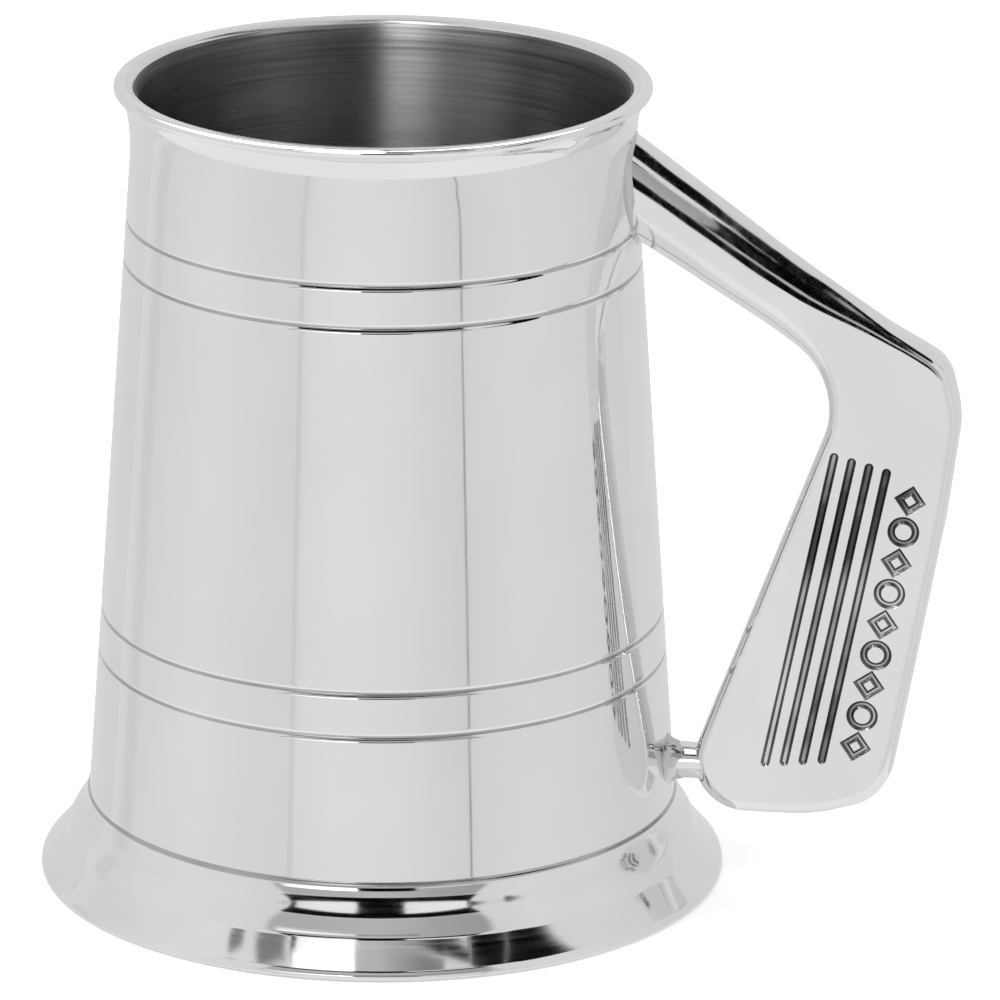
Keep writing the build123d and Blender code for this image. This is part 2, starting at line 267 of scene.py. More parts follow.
def rounded_path(corners, radii, arc_steps=24, line_step=0.8):
    """A dense path through corners, each rounded to its radius."""
    path = [Vector(corners[0])]
    for before, corner, after, radius in zip(corners, corners[1:], corners[2:], radii):
        here = Vector(corner)
        back = (Vector(before) - here).normalized()
        ahead = (Vector(after) - here).normalized()
        half = back.angle(ahead) / 2
        reach = radius / math.tan(half)
        centre = here + (back + ahead).normalized() * radius / math.sin(half)
        first = here + back * reach
        last = here + ahead * reach
        extend_line(path, first, line_step)
        start_arm, end_arm = first - centre, last - centre
        turn = start_arm.angle_signed(end_arm)
        for i in range(1, arc_steps + 1):
            path.append(centre + Matrix.Rotation(-turn * i / arc_steps, 2) @ start_arm)
    extend_line(path, Vector(corners[-1]), line_step)
    return np.array([tuple(p) for p in path])


def extend_line(path, target, step):
    start = path[-1].copy()
    count = max(1, math.ceil((target - start).length / step))
    for i in range(1, count + 1):
        path.append(start.lerp(target, i / count))


def lengths(path):
    """Distance along a path at each of its points."""
    return np.concatenate([[0.0], np.cumsum(np.linalg.norm(np.diff(path, axis=0), axis=1))])


def at_length(path, where):
    along = lengths(path)
    return np.stack([np.interp(where, along, path[:, k]) for k in (0, 1)], axis=-1)


def nearest_length(path, point):
    """How far along a path its point nearest to a given one lies."""
    return lengths(path)[np.argmin(np.linalg.norm(path - np.array(point), axis=1))]


def smooth_step(value, low, high):
    """0 below low, 1 above high, and a soft rise from one to the other."""
    t = np.clip((value - low) / (high - low), 0.0, 1.0)
    return t * t * (3 - 2 * t)


# ---- materials ----


class Nodes:
    """A small builder for node materials."""

    def __init__(self, name):
        self.material = bpy.data.materials.new(name)
        self.material.use_nodes = True
        self.tree = self.material.node_tree
        self.tree.nodes.clear()
        self.output = self.tree.nodes.new("ShaderNodeOutputMaterial")

    def add(self, kind, **settings):
        """A new node with its inputs, or else its own settings, given by name."""
        made = self.tree.nodes.new(kind)
        for key, value in settings.items():
            if key in made.inputs:
                made.inputs[key].default_value = value
            else:
                setattr(made, key, value)
        return made

    def link(self, source, target):
        self.tree.links.new(source, target)

    def grain(self, scale, detail, lift=0.0):
        """Noise stretched by a different scale along X, Y and Z, in cycles per metre."""
        place = self.add("ShaderNodeTexCoord")
        stretch = self.add("ShaderNodeMapping", Scale=scale, Location=(lift, lift, lift))
        self.link(place.outputs["Object"], stretch.inputs["Vector"])
        cloud = self.add("ShaderNodeTexNoise", Scale=1.0, Detail=detail, Roughness=0.55)
        self.link(stretch.outputs["Vector"], cloud.inputs["Vector"])
        return cloud.outputs["Fac"]

    def ranged(self, source, low, high, to_low, to_high):
        limits = {"From Min": low, "From Max": high, "To Min": to_low, "To Max": to_high}
        span = self.add("ShaderNodeMapRange", **limits)
        self.link(source, span.inputs["Value"])
        return span.outputs["Result"]

    def blend_colours(self, share, first, second):
        mix = self.add("ShaderNodeMix", data_type="RGBA")
        mix.inputs[6].default_value = (*first, 1)
        mix.inputs[7].default_value = (*second, 1)
        self.link(share, mix.inputs[0])
        return mix.outputs[2]

    def bump(self, height, distance, under=None):
        raised = self.add("ShaderNodeBump", Distance=distance, Strength=1.0)
        self.link(height, raised.inputs["Height"])
        if under is not None:
            self.link(under, raised.inputs["Normal"])
        return raised.outputs["Normal"]

    def metal(self, colour, roughness, normal, brushed=0.0):
        shader = self.add("ShaderNodeBsdfPrincipled", Metallic=1.0)
        if brushed:
            shader.inputs["Anisotropic"].default_value = brushed
            shader.inputs["Anisotropic Rotation"].default_value = 0.25
            around = self.add("ShaderNodeTangent", direction_type="RADIAL", axis="Z")
            self.link(around.outputs["Tangent"], shader.inputs["Tangent"])
        self.link(colour, shader.inputs["Base Color"])
        self.link(roughness, shader.inputs["Roughness"])
        self.link(normal, shader.inputs["Normal"])
        self.link(shader.outputs["BSDF"], self.output.inputs["Surface"])
        return self.material


CLOUD_GRAIN = (60.0, 60.0, 45.0)  # stretch of the slow changes in polish
PIT_GRAIN = (2600.0, 2600.0, 2600.0)
PIT_LEVELS = (0.66, 0.74)  # only the top of that noise makes pits
MARK_LEVELS = (0.35, 0.7)
MARK_WEAR = (0.75, 1.3)  # how polishing marks multiply the roughness
CLOUD_LEVELS = (0.3, 0.7)
UPWARD_DARKENING_SHARE = 0.07  # how far the tint is moved each way, darker towards the top


def pewter(
    name, bright, dull, smoothness, streaks, streak_depth, ripple_depth, pits=0.0, brushed=0.0,
    tinted_by_marks=False, contrast=(0.3, 0.7), darkening_heights=None,
):
    """Pewter whose polish varies: streaks is the stretch of its polishing marks.

    bright and dull are its two tints, and contrast is where the one turns into the other.
    Depths are in millimetres. The last argument is two heights in metres, between which the tint
    gets darker towards the top.
    """
    nodes = Nodes(name)
    marks = nodes.grain(streaks, detail=5.0)
    clouds = nodes.grain(CLOUD_GRAIN, detail=3.0, lift=3.1)
    tint = marks if tinted_by_marks else clouds
    if darkening_heights:
        place = nodes.add("ShaderNodeSeparateXYZ")
        nodes.link(nodes.add("ShaderNodeTexCoord").outputs["Object"], place.inputs["Vector"])
        darker = nodes.add("ShaderNodeMath", operation="ADD")
        more = nodes.ranged(place.outputs["Z"], *darkening_heights, -UPWARD_DARKENING_SHARE, UPWARD_DARKENING_SHARE)
        nodes.link(more, darker.inputs[0])
        nodes.link(tint, darker.inputs[1])
        tint = darker.outputs[0]
    colour = nodes.blend_colours(nodes.ranged(tint, *contrast, 0.0, 1.0), bright, dull)
    wear = nodes.add("ShaderNodeMath", operation="MULTIPLY")
    nodes.link(nodes.ranged(marks, *MARK_LEVELS, *MARK_WEAR), wear.inputs[0])
    nodes.link(nodes.ranged(clouds, *CLOUD_LEVELS, *smoothness), wear.inputs[1])
    normal = nodes.bump(clouds, ripple_depth * MM)
    normal = nodes.bump(marks, streak_depth * MM, normal)
    if pits:
        specks = nodes.grain(PIT_GRAIN, detail=2.0, lift=7.7)
        holes = nodes.ranged(specks, *PIT_LEVELS, 0.0, 1.0)
        normal = nodes.bump(holes, -pits * MM, normal)
    return nodes.metal(colour, wear.outputs[0], normal, brushed)


POLISHED = pewter(
    "polished_pewter",
    bright=(0.87, 0.87, 0.865),
    dull=(0.84, 0.84, 0.835),
    smoothness=(0.035, 0.07),
    streaks=(1500.0, 1500.0, 14.0),
    streak_depth=0.0006,
    ripple_depth=0.006,
)
FOOT_METAL = pewter(
    "foot_pewter",
    bright=(0.87, 0.87, 0.865),
    dull=(0.83, 0.83, 0.825),
    smoothness=(0.05, 0.09),
    streaks=(60.0, 60.0, 2500.0),
    streak_depth=0.0005,
    ripple_depth=0.004,
)
# Satin pewter for the inside: its very dark tints are partly the duller satin finish and partly
# painted shade for the inside of the cup.
SHADED_SATIN = pewter(
    "satin_pewter",
    bright=(0.26, 0.26, 0.26),
    dull=(0.10, 0.10, 0.102),
    smoothness=(0.32, 0.42),
    streaks=(22.0, 22.0, 1500.0),
    streak_depth=0.003,
    ripple_depth=0.004,
    brushed=1.0,
    tinted_by_marks=True,
)
BRUSHED = pewter(
    "brushed_lip",
    bright=(0.84, 0.84, 0.835),
    dull=(0.74, 0.74, 0.735),
    smoothness=(0.16, 0.24),
    streaks=(40.0, 40.0, 2600.0),
    streak_depth=0.003,
    ripple_depth=0.006,
    brushed=0.5,
)
CAST = pewter(
    "cast_pewter",
    bright=(0.87, 0.87, 0.865),
    dull=(0.82, 0.82, 0.815),
    smoothness=(0.05, 0.13),
    streaks=(900.0, 900.0, 60.0),
    streak_depth=0.0008,
    ripple_depth=0.012,
    pits=0.002,
)
RECESS = pewter(
    "darkened_recess",
    bright=(0.34, 0.34, 0.34),
    dull=(0.03, 0.03, 0.03),
    smoothness=(0.25, 0.4),
    streaks=(900.0, 900.0, 900.0),
    streak_depth=0.004,
    ripple_depth=0.01,
    contrast=(0.30, 0.70),
    darkening_heights=(0.020, 0.075),
)
WORN_FLOOR = pewter(
    "worn_floor",
    bright=(0.70, 0.70, 0.695),
    dull=(0.07, 0.07, 0.07),
    smoothness=(0.12, 0.22),
    streaks=(900.0, 900.0, 120.0),
    streak_depth=0.004,
    ripple_depth=0.01,
    contrast=(0.38, 0.62),
    darkening_heights=(0.020, 0.075),
)
# Darker pewter that stands in for shade: painted shade in the middles of the drum's grooves and a
# painted shadow line on the bead under the drum.
CREASE_SHADE = pewter(
    "painted_crease_shade",
    bright=(0.56, 0.56, 0.555),
    dull=(0.40, 0.40, 0.40),
    smoothness=(0.10, 0.18),
    streaks=(60.0, 60.0, 2500.0),
    streak_depth=0.001,
    ripple_depth=0.004,
)
SOLDER = pewter(
    "solder",
    bright=(0.80, 0.80, 0.795),
    dull=(0.42, 0.42, 0.42),
    smoothness=(0.08, 0.2),
    streaks=(500.0, 500.0, 500.0),
    streak_depth=0.01,
    ripple_depth=0.03,
    pits=0.004,
)


# ---- drum ----


def cone_r(z):
    """Outer radius of the drum's conical wall."""
    return CONE_R - CONE_TAPER * z


def grooved_wall():
    """The outer wall from its base up to the flare, with four rolled grooves."""
    path = []
    z = DRUM_BASE_Z
    for height in GROOVE_HEIGHTS:
        low, high = height - GROOVE_HALF_WIDTH, height + GROOVE_HALF_WIDTH
        path += guarded((cone_r(z), z), (cone_r(low), low), 5)
        for i in range(1, 17):
            across = -1 + i / 8
            deep = GROOVE_DEPTH * (0.5 + 0.5 * math.cos(math.pi * across))
            level = height + across * GROOVE_HALF_WIDTH
            path.append((cone_r(level) - deep, level))
        z = high
    return path + guarded((cone_r(z), z), (cone_r(FLARE_Z), FLARE_Z), 4)


lip_centre = (LIP_R - LIP_EDGE_R, HEIGHT - LIP_EDGE_R)
lip_run = (math.sin(LIP_LEAN), math.cos(LIP_LEAN))
lip_outer = (lip_centre[0] + LIP_EDGE_R * lip_run[1], lip_centre[1] - LIP_EDGE_R * lip_run[0])


def scaled(direction, length):
    """A direction in the profile plane, made longer or shorter."""
    return (direction[0] * length, direction[1] * length)


def outer_flare():
    """The outer wall from the cone's top, out to the lip."""
    rise = NECK_Z - FLARE_Z
    lip_rise = lip_outer[1] - NECK_Z
    neck_run = (0.10, 1.0)
    lower = hermite(
        (cone_r(FLARE_Z), FLARE_Z), scaled((-CONE_TAPER, 1), rise),
        (NECK_R, NECK_Z), scaled(neck_run, rise), 12,
    )
    upper = hermite(
        (NECK_R, NECK_Z), scaled(neck_run, lip_rise),
        lip_outer, scaled(lip_run, lip_rise * 1.15), 18,
    )
    return join_paths(lower, upper)


def lip_inside():
    """From the top of the lip, over its rounded inner edge and down the bore."""
    bore_top = (LIP_INNER_R + LIP_BORE_ROUND, HEIGHT - LIP_TOP_FALL)
    centre = (bore_top[0], bore_top[1] - LIP_BORE_ROUND)
    flat = hermite((lip_centre[0], HEIGHT), (-0.9, 0.0), bore_top, (-0.9, -0.12), 6)
    bend = [
        (r, centre[1] + (z - centre[1] - LIP_BORE_ROUND) * LIP_BORE_FALL + LIP_BORE_ROUND)
        for r, z in arc(centre, LIP_BORE_ROUND, 90, 180, 16)
    ]
    return join_paths(flat, bend)


wall_outside = join_paths(grooved_wall(), outer_flare())
lip_top = arc(lip_centre, LIP_EDGE_R, -math.degrees(LIP_LEAN), 90, 12)
lip_bore = lip_inside()
wall_inside = join_paths(
    straight(lip_bore[-1], (cone_r(FLARE_Z) - WALL, FLARE_Z), 8),
    straight((cone_r(FLARE_Z) - WALL, FLARE_Z), (cone_r(DRUM_BASE_Z) - WALL, DRUM_BASE_Z), 24),
)
outside = join_paths(wall_outside, lip_top)
drum_profile = join_paths(outside, lip_bore, wall_inside)
POLISH_OVER_LIP = 3  # edges of the lip's top that are still polished
BORE_UNBRUSHED = 11  # edges of the lip's inner rounding that aren't brushed
polished_edges = len(outside) + POLISH_OVER_LIP
brushed_edges = len(outside) + len(lip_bore) - BORE_UNBRUSHED
# The drum's inside gets the satin whose dark tint is partly painted shade.
drum_metals = [POLISHED, BRUSHED, SHADED_SATIN, CREASE_SHADE]
# The place in that list of each edge's metal.
drum_spans = [0] * polished_edges + [1] * (brushed_edges - polished_edges)
drum_spans += [2] * (len(drum_profile) - brushed_edges)
# The middles of the grooves get that darker pewter, as painted shade.
for i in range(len(wall_outside) - 1):
    middle_z = (wall_outside[i][1] + wall_outside[i + 1][1]) / 2
    if min(abs(middle_z - height) for height in GROOVE_HEIGHTS) < GROOVE_SHADE_SHARE * GROOVE_HALF_WIDTH:
        drum_spans[i] = 3
drum = lathe("drum_wall", drum_profile, drum_metals, drum_spans, wobble=0.010, seed=3)
stand_for(drum, "drum")


# ---- foot and floor ----


def leaning_path(places, steps):
    """A smooth path down through places that each give radius, z and lean."""
    pieces = []
    for here, there in zip(places, places[1:]):
        reach = math.dist(here[:2], there[:2])
        runs = [
            scaled((math.sin(math.radians(place[2])), -math.cos(math.radians(place[2]))), reach)
            for place in (here, there)
        ]
        pieces.append(hermite(here[:2], runs[0], there[:2], runs[1], steps))
    return join_paths(*pieces)


# Across the sheet at the collar's middle, as shares of its thickness, and the two places
# inside the crease, from the sheet's inner side.
SHEET_ACROSS = (0.84, 0.54)
INSIDE_CREASE = ((0.4, -1.2), (0.0, -0.4))


def foot_profile():
    """One spun sheet: flange, hollow collar, skirt, and back underneath."""
    outside_path = join_paths(
        leaning_path(COLLAR_PLACES, 16), leaning_path(SKIRT_PLACES, 16)[:-1]
    )
    edge = arc((SKIRT_R - FOOT_EDGE_R, FOOT_EDGE_Z), FOOT_EDGE_R, 42, 0, 5)
    heel = arc((SKIRT_R - FOOT_HEEL_R, FOOT_HEEL_R), FOOT_HEEL_R, 0, -90, 6)
    rim_r = SKIRT_R - FOOT_SHEET
    under = [(rim_r + FOOT_CHAMFER, 0.0), (rim_r, FOOT_CHAMFER)]
    low_r, low_z = COLLAR_PLACES[2][:2]
    mid_r, mid_z = COLLAR_PLACES[1][:2]
    inner_r = FOOT_TOP_R - FOOT_SHEET
    flange_z = DRUM_BASE_Z - FOOT_SHEET
    inside_path = [(low_r - FOOT_SHEET + out, low_z + up) for out, up in INSIDE_CREASE]
    inside_path += [
        (mid_r - SHEET_ACROSS[0] * FOOT_SHEET, mid_z - SHEET_ACROSS[1] * FOOT_SHEET),
        (inner_r, flange_z - FOOT_INNER_CHAMFER),
        (inner_r - FOOT_INNER_CHAMFER, flange_z),
    ]
    flange = straight((FLANGE_INNER_R, flange_z), (FLANGE_INNER_R, DRUM_BASE_Z), 2)
    return join_paths(
        [(FLANGE_INNER_R, DRUM_BASE_Z)], outside_path, edge, heel, under, inside_path, flange[:-1]
    )


foot = lathe("spun_foot", foot_profile(), [FOOT_METAL], wobble=0.008, seed=5, sharp=24.0)
stand_for(foot, "foot")

disc_r = cone_r(FLOOR_TOP_Z) - WALL - FLOOR_ROOM
disc_rings = np.linspace(disc_r - 0.6, 0.5, 40)
disc_profile = join_paths(
    [(0.0, DRUM_BASE_Z)],
    straight((8.0, DRUM_BASE_Z), (disc_r, DRUM_BASE_Z), 6),
    [(disc_r, FLOOR_TOP_Z - FLOOR_CHAMFER), (disc_r - FLOOR_CHAMFER, FLOOR_TOP_Z)],
    [(r, FLOOR_TOP_Z - FLOOR_DISH * (1 - (r / disc_r) ** 2)) for r in disc_rings],
    [(0.0, FLOOR_TOP_Z - FLOOR_DISH)],
)
floor_disc = lathe("base_disc", disc_profile, [SHADED_SATIN], closed=False)
stand_for(floor_disc, "floor_disc")

# Solder reaches a little way into the wall and the floor, so that no gap shows.
SOLDER_IN_WALL = 0.15
SOLDER_IN_FLOOR = 0.1
wall_corner_r = cone_r(FLOOR_TOP_Z) - WALL
fillet_r, fillet_z = wall_corner_r - FLOOR_FILLET, FLOOR_TOP_Z + FLOOR_FILLET
floor_joint_profile = join_paths(
    arc((fillet_r, fillet_z), FLOOR_FILLET, -90, -4, 8),
    [
        (wall_corner_r + SOLDER_IN_WALL, fillet_z),
        (wall_corner_r + SOLDER_IN_WALL, FLOOR_TOP_Z - SOLDER_IN_FLOOR),
        (fillet_r, FLOOR_TOP_Z - SOLDER_IN_FLOOR),
    ],
)
floor_joint = lathe("floor_joint", floor_joint_profile, [SHADED_SATIN], wobble=0.02, seed=8)
stand_for(floor_joint, "floor_solder")

bead_top = (cone_r(DRUM_BASE_Z + FOOT_BEAD), DRUM_BASE_Z + FOOT_BEAD)
bead_corner = (FOOT_TOP_R + 0.1, DRUM_BASE_Z)
bead_low = (COLLAR_PLACES[0][0], DRUM_BASE_Z - FOOT_BEAD_DROP)
foot_joint_profile = join_paths(
    [(bead_top[0] - SOLDER_IN_WALL, bead_top[1])],
    hermite(bead_top, (0.05, -0.6), bead_corner, (0.5, -0.4), 10),
    hermite(bead_corner, (0.3, -0.24), bead_low, (-0.4, -0.3), 8),
    [(bead_top[0] - SOLDER_IN_WALL, bead_low[1])],
)
# The bead is in the darker pewter, a painted shadow line where the drum meets the foot.
foot_joint = lathe("foot_joint", foot_joint_profile, [CREASE_SHADE], wobble=0.012, seed=9)
stand_for(foot_joint, "foot_solder")


# ---- golf iron handle ----

EDGE_ROUND = 1.5  # rounding of the head's long edges
TOE_ROUND = 2.4
SOLE_CROWN = 0.45
TOPLINE_CROWN = 0.3 * SOLE_CROWN
ACROSS = 48  # divisions across the face
STRIP = 8  # divisions across an edge
HEEL_STEP = (78.2, 89.9)
HEEL_CORNER = (86.5, 84.8)
HEEL_LOW = (88.55, 76.5)
SOLE_MIDDLE = (86.4, 60.0)
TOE_CORNER = (78.5, 15.2)
TOE_LOW = (67.5, TOE_Z)
SOLE_ROUNDS = [9.0, 7.0, 14.0, 60.0, 8.0, 25.0]  # roundings of those six corners
TOE_INNER_END = (57.2, TOE_Z)
TOE_OUTER_END = (64.2, TOE_Z)
# Places along the hosel's axis: where its straight rings end, where its taper ends, and
# between which it flattens into the head.
HOSEL_END = 22.0
TAPER_END = 40.0
FLATTENING = (25.0, 49.0)
TOE_SOFTENING = (26.0, 14.0)  # heights between which the edges get rounder
MOST_ROUNDING = 0.485  # of the thickness
# Rings after the hosel run through a place on the inner guide and one on the outer guide.
FACE_TOP = ((68.6, 73.5), (88.3, 75.0))
FACE_FOOT = ((49.5, 23.4), (79.7, 21.6))
RING_COUNTS = (70, 56, 56)
HOSEL_RINGS = 44
COPE_DEPTH = 0.6  # how far under the drum's surface the hosel starts
COPE_SEARCH = (-1.2, 0.9)  # where that is looked for, as shares of the way to the neck
# How uneven the casting is, and over what length. The hosel is worse, until it flattens.
CAST_WAVES = (0.04, 9.0)
HOSEL_WAVES = (0.13, 11.0)
WAVES_FADE = (30.0, 52.0)


def along_hosel(distance, above=0.0):
    """The place that far along the hosel's axis and that far above it."""
    return (
        HOSEL_ROOT[0] + distance * math.cos(HOSEL_DROP) + above * math.sin(HOSEL_DROP),
        HOSEL_ROOT[1] - distance * math.sin(HOSEL_DROP) + above * math.cos(HOSEL_DROP),
    )


def hosel_radius(distance):
    """The hosel's radius that far along its axis, where it narrows evenly."""
    return HOSEL_ROOT_R + (HOSEL_NECK_R - HOSEL_ROOT_R) * distance / HOSEL_NECK_AT


def hollow_corner():
    """Where the topline meets the hosel's underside."""
    x0, z0 = along_hosel(0, -HOSEL_NECK_R)
    slope = -math.tan(HOSEL_DROP)
    x_offset = TOPLINE_TOE[0] - TOPLINE_RUN * TOPLINE_TOE[1] - x0
    z = (z0 + slope * x_offset) / (1 - slope * TOPLINE_RUN)
    return (TOPLINE_TOE[0] + TOPLINE_RUN * (z - TOPLINE_TOE[1]), z)


toe_inner = (TOPLINE_TOE[0] + TOPLINE_RUN * (TOE_Z - TOPLINE_TOE[1]), TOE_Z)
inner_guide = rounded_path(
    [along_hosel(0, -HOSEL_ROOT_R), hollow_corner(), toe_inner, TOE_INNER_END],
    [HEEL_HOLLOW_R, TOE_INNER_R],
)
outer_guide = rounded_path(
    [
        along_hosel(0, HOSEL_ROOT_R), HEEL_STEP, HEEL_CORNER, HEEL_LOW, SOLE_MIDDLE,
        TOE_CORNER, TOE_LOW, TOE_OUTER_END,
    ],
    SOLE_ROUNDS,
)
outline = np.concatenate([inner_guide, outer_guide[::-1]])


def distance_in(points, batch=2000):
    """How far points of the handle's plane lie inside its outline."""
    start, end = outline[:-1], outline[1:]
    run = end - start
    square = np.maximum((run**2).sum(1), 1e-12)
    best = np.full(len(points), 1e9)
    for first in range(0, len(points), batch):
        part = points[first:first + batch, None, :] - start
        share = np.clip((part * run).sum(2) / square, 0, 1)
        gap = np.linalg.norm(part - share[..., None] * run, axis=2)
        best[first:first + batch] = gap.min(1)
    return best


score_lean = math.atan2(
    SCORE_FIRST[1][0] - SCORE_FIRST[0][0], SCORE_FIRST[1][1] - SCORE_FIRST[0][1]
)


def across_scores(x, z):
    """How far a place of the handle's plane lies across the score lines."""
    return x * math.cos(score_lean) - z * math.sin(score_lean)


topline_u = across_scores(*TOPLINE_TOE)
sole_u = across_scores(*SOLE_HEEL)


def hosel_length(points):
    """How far along the hosel's axis points of the handle's plane lie."""
    offset = points - np.array(HOSEL_ROOT)
    return offset[:, 0] * math.cos(HOSEL_DROP) - offset[:, 1] * math.sin(HOSEL_DROP)


def section(points):
    """Front y, back y and edge rounding of the handle at points of its plane."""
    along = hosel_length(points)
    head = smooth_step(along, *FLATTENING)
    radius = hosel_radius(np.minimum(along, TAPER_END))
    share = (across_scores(points[:, 0], points[:, 1]) - topline_u) / (sole_u - topline_u)
    back = FACE_Y + TOPLINE_THICKNESS + (SOLE_THICKNESS - TOPLINE_THICKNESS) * share
    low = smooth_step(points[:, 1], *TOE_SOFTENING)
    edge = EDGE_ROUND + (TOE_ROUND - EDGE_ROUND) * low
    front = -radius + (FACE_Y + radius) * head
    rear = radius + (back - radius) * head
    rounding = radius + (edge - radius) * head
    return front, rear, np.minimum(rounding, MOST_ROUNDING * (rear - front))


def ring(inner, outer):
    """One loop round the handle between two points of its guides."""
    t = 0.5 - 0.5 * np.cos(np.pi * np.linspace(0, 1, ACROSS + 1))
    flat = inner[None, :] + (outer - inner)[None, :] * t[:, None]
    front, rear, rounding = section(flat)
    depth = distance_in(flat)
    depth[0] = depth[-1] = 0.0
    short = np.maximum(rounding - depth, 0.0)
    inset = rounding - np.sqrt(np.maximum(rounding**2 - short**2, 0.0))
    face = np.stack([flat[:, 0], front + inset, flat[:, 1]], 1)
    back = np.stack([flat[:, 0], rear - inset, flat[:, 1]], 1)
    outward = (outer - inner) / np.linalg.norm(outer - inner)
    share = np.linspace(0, 1, STRIP + 1)[1:-1, None]
    bulge = (np.sin(np.pi * share) ** 2) * outward[None, :]
    sole = face[-1] + (back[-1] - face[-1]) * share
    top = back[0] + (face[0] - back[0]) * share
    flatness = float(1 - 2 * rounding[-1] / (rear[-1] - front[-1]))
    sole[:, [0, 2]] += bulge * SOLE_CROWN * flatness
    top[:, [0, 2]] -= bulge * TOPLINE_CROWN * flatness
    return np.concatenate([face, sole, back[::-1], top])


def coped_rings(root_ring, neck_ring, steps):
    """Rings along the hosel, whose first one lies just under the drum's wall."""
    low, high = (np.full(len(root_ring), share) for share in COPE_SEARCH)
    for _ in range(40):
        middle = (low + high) / 2
        point = root_ring + (neck_ring - root_ring) * middle[:, None]
        inside = np.hypot(point[:, 0], point[:, 1]) < cone_r(point[:, 2]) - COPE_DEPTH
        low, high = np.where(inside, middle, low), np.where(inside, high, middle)
    return [
        root_ring + (neck_ring - root_ring) * (low + (1 - low) * i / steps)[:, None]
        for i in range(steps)
    ]


def ring_places(guide, side, face_top, face_foot):
    """Lengths along one guide, one for every ring after the hosel."""
    hosel_side = along_hosel(HOSEL_END, side * hosel_radius(HOSEL_END))
    ends = [nearest_length(guide, place) for place in (hosel_side, face_top, face_foot)]
    ends.append(lengths(guide)[-1])
    places = []
    for start, end, count in zip(ends, ends[1:], RING_COUNTS):
        places.append(start + (end - start) * np.linspace(0, 1, count + 1)[:-1])
    return np.append(np.concatenate(places), ends[-1])


def wavy(points, depth, length, seed):
    """Moves points a little, as a hand-polished casting is uneven. depth may vary by point.

    seed moves the whole pattern elsewhere.
    """
    shift = Vector((seed * 13.7, seed * 5.3, seed * 9.1))
    moved = []
    for point, deep in zip(points, np.broadcast_to(depth, len(points))):
        place = Vector(point) / length + shift
        moved.append(Vector(point) + float(deep) * noise.noise_vector(place))
    return moved


def handle_blank():
    """The whole casting before its marks are cut: points and faces."""
    inner_places = ring_places(inner_guide, -1, FACE_TOP[0], FACE_FOOT[0])
    outer_places = ring_places(outer_guide, 1, FACE_TOP[1], FACE_FOOT[1])
    inner_points = at_length(inner_guide, inner_places)
    outer_points = at_length(outer_guide, outer_places)
    body = [ring(inner, outer) for inner, outer in zip(inner_points, outer_points)]
    centre = np.array((HOSEL_ROOT[0], 0.0, HOSEL_ROOT[1]))
    neck_centre = body[0].mean(0)
    root = centre + (body[0] - neck_centre) * HOSEL_ROOT_R / hosel_radius(HOSEL_END)
    rings = coped_rings(root, body[0], HOSEL_RINGS) + body
    per_ring = len(rings[0])
    points = np.concatenate(rings)
    faces = woven(len(rings), per_ring)
    faces.append(tuple(range(per_ring))[::-1])
    faces += toe_cap((len(rings) - 1) * per_ring)
    uneven = 1.0 - smooth_step(hosel_length(points[:, [0, 2]]), *WAVES_FADE)
    points = wavy(points, *CAST_WAVES, seed=1)
    return wavy(points, HOSEL_WAVES[0] * uneven, HOSEL_WAVES[1], seed=6), faces


def toe_cap(last):
    """Closes the last ring from its face edge to its back edge."""
    back_start = last + ACROSS + STRIP
    cap = []
    for i in range(ACROSS):
        face_here, face_next = last + i, last + i + 1
        back_here = back_start + ACROSS - i
        cap.append((face_here, face_next, back_here - 1, back_here))
    sole_strip = [last + ACROSS + i for i in range(STRIP + 1)]
    top_strip = [last + 2 * ACROSS + STRIP + i for i in range(STRIP)] + [last]
    return cap + [tuple(sole_strip), tuple(top_strip)]


HANDLE_METALS = [CAST, RECESS, WORN_FLOOR]
WALL_CUT, FLOOR_CUT = 1, 2  # places in that list for a mark's walls and floor


def cutter_part(points, faces, chosen, loops):
    """Adds a tapered cutter: loops from outside the face down to its floor."""
    levels, count = len(loops), len(loops[0])
    faces += woven(levels, count, len(points)) + end_caps(levels, count, len(points))
    chosen += [WALL_CUT] * (levels - 1) * count + [WALL_CUT, FLOOR_CUT]
    for loop in loops:
        points.extend(loop)


def ring_cutter_part(points, faces, chosen, outer_loops, inner_loops):
    """Adds a ring-shaped cutter between an outer and an inner wall."""
    levels, count = len(outer_loops), len(outer_loops[0])
    walls = outer_loops + inner_loops[::-1]
    faces += woven(2 * levels, count, len(points), rows_close=True)
    for level in range(2 * levels):
        chosen += [FLOOR_CUT if level == levels - 1 else WALL_CUT] * count
    for loop in walls:
        points.extend(loop)


# depth below the face, and how much a groove's half width differs there
CUT_LEVELS = ((-0.4, 0.50), (-0.02, 0.20), (0.10, 0.06), (0.38, -0.12), (0.46, -0.26))


def placed(x, z, depth, centre, tilt):
    """A place of a mark's own plane, turned and moved onto the face."""
    turned = (x * math.cos(tilt) - z * math.sin(tilt), x * math.sin(tilt) + z * math.cos(tilt))
    return (centre[0] + turned[0], FACE_Y + depth, centre[1] + turned[1])


def slot_loop(length, half, depth, centre, tilt):
    """A round-ended slot's outline at one depth."""
    reach = length / 2 - SCORE_HALF_WIDTH
    slot = arc((reach, 0), half, -90, 90, 8) + arc((-reach, 0), half, 90, 270, 8)
    return [placed(x, z, depth, centre, tilt) for x, z in slot]


def regular_loop(radius, corners, depth, centre, tilt, steps_per_side=1):
    """A regular outline at one depth: a lozenge, or a ring with many corners."""
    tips = arc((0, 0), radius, 0, 360, corners)
    loop = []
    for here, there in zip(tips, tips[1:]):
        side = straight(here, there, steps_per_side)[:-1]
        loop += [placed(x, z, depth, centre, tilt) for x, z in side]
    return loop


